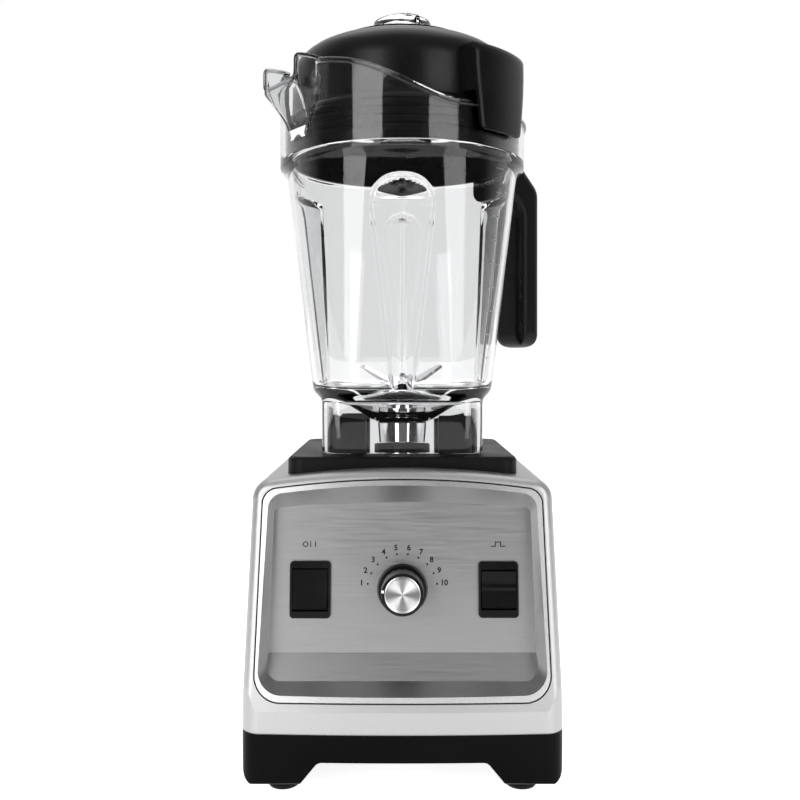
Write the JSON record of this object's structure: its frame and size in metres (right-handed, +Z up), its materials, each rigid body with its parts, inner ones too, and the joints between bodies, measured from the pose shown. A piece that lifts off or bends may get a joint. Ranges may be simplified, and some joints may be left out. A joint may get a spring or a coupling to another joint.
{
  "type": "countertop blender",
  "caption": "Countertop blender: silver housing with brushed control panel on a black tray, clear spouted jar with steel blades, black rubber lid and side handle.",
  "frame": {"origin": "centre of the footprint, at the surface the feet stand on; the drive axis stands 1.6 mm to its -X side", "axes": "+Z up, parallel to the drive axis, -Y out of the control panel, +X to the right of a person facing the panel"},
  "size_m": [0.2009, 0.2126, 0.5],
  "materials": {
    "black_shell": "fine matte black moulding",
    "silver_paint": "satin silver paint",
    "silver_bezel": "satin silver paint",
    "panel_steel": "horizontal brushed grain",
    "soft_rubber": "matte",
    "switch_plastic": "semi-gloss black",
    "knob_plastic": "semi-gloss black",
    "knob_metal": "circular spun",
    "white_mark": "printed white",
    "steel": "machined",
    "lamination": "stacked laminations",
    "copper": "enamelled copper windings",
    "holder_brass": "stamped",
    "carbon": "carbon",
    "circuit_board": "green laminate",
    "sink_metal": "extruded",
    "fan_plastic": "moulded",
    "socket_black": "hard moulded coupling",
    "clear_jar": "clear moulding",
    "handle_black": "satin black moulding",
    "blade_steel": "polished stainless steel",
    "lid_rubber": "satin black",
    "clear_plug": "clear moulding"
  },
  "bodies": {
    "base": {"base_tray": "black_shell", "housing": "silver_paint", "front_bezel": "silver_bezel", "front_panel": "panel_steel", "top_cap": "black_shell", "centring_pad": "soft_rubber", "foot_front_left": "soft_rubber", "foot_front_right": "soft_rubber", "foot_rear_left": "soft_rubber", "foot_rear_right": "soft_rubber", "base_screws": "steel", "cord_gland": "black_shell", "power_switch_body": "switch_plastic", "pulse_switch_body": "switch_plastic", "potentiometer_body": "steel", "potentiometer_nut": "steel", "speed_board": "circuit_board", "heat_sink": "sink_metal", "motor_stator": "lamination", "field_coils": "copper", "upper_motor_bracket": "steel", "lower_motor_bracket": "steel", "upper_bearing": "steel", "lower_bearing": "steel", "brush_holders": "holder_brass", "carbon_brushes": "carbon", "motor_bolts": "steel", "motor_mounts": "soft_rubber", "air_duct": "black_shell"},
    "drive": {"motor_shaft": "steel", "armature_core": "lamination", "armature_windings": "copper", "commutator": "copper", "cooling_fan": "fan_plastic", "drive_socket": "socket_black"},
    "power_rocker": {"power_rocker": "switch_plastic"},
    "pulse_rocker": {"pulse_rocker": "switch_plastic"},
    "speed_knob": {"speed_knob": "knob_plastic", "knob_cap": "knob_metal", "knob_pointer": "white_mark", "potentiometer_shaft": "steel"},
    "jar": {"jar_body": "clear_jar", "jar_handle": "handle_black", "handle_screws": "steel", "bearing_housing": "blade_steel", "retainer_nut": "blade_steel", "jar_gasket": "soft_rubber", "blade_bearings": "steel", "shaft_seal": "soft_rubber"},
    "blades": {"blade_shaft": "blade_steel", "lower_blade": "blade_steel", "middle_blade": "blade_steel", "upper_blade": "blade_steel", "blade_nut": "blade_steel"},
    "lid": {"lid": "lid_rubber", "plug_collar": "lid_rubber"},
    "plug": {"lid_plug": "clear_plug"}
  },
  "joints": [
    {"name": "power_rocker_tilt", "type": "hinge", "parent": "base", "child": "power_rocker", "pos_m": [-0.0586, -0.07575, 0.11892], "axis": [1, 0, 0], "range_deg": [0, 20]},
    {"name": "pulse_rocker_tilt", "type": "hinge", "parent": "base", "child": "pulse_rocker", "pos_m": [0.0578, -0.07575, 0.11892], "axis": [1, 0, 0], "range_deg": [0, 14], "stiffness_Nm_per_rad": 0.03, "springref_deg": -11.46},
    {"name": "speed_knob_turn", "type": "hinge", "parent": "base", "child": "speed_knob", "pos_m": [-0.0016, -0.07674, 0.119], "axis": [0, 0.9963, -0.0854], "range_deg": [0, 162.4]},
    {"name": "drive_spin", "type": "hinge", "parent": "base", "child": "drive", "pos_m": [-0.0016, 0, 0.1], "axis": [0, 0, 1], "continuous": true},
    {"name": "jar_lift", "type": "slide", "parent": "base", "child": "jar", "axis": [0, 0, 1], "range_m": [0, 0.08]},
    {"name": "blade_spin", "type": "hinge", "parent": "jar", "child": "blades", "pos_m": [-0.0016, 0, 0.24], "axis": [0, 0, 1], "continuous": true},
    {"name": "lid_lift", "type": "slide", "parent": "jar", "child": "lid", "axis": [0, 0, 1], "range_m": [0, 0.08]},
    {"name": "plug_lift", "type": "slide", "parent": "lid", "child": "plug", "axis": [0, 0, 1], "range_m": [0, 0.06]}
  ],
  "couplings": [
    {"joint": "blade_spin", "follows": "drive_spin", "ratio": 1}
  ]
}
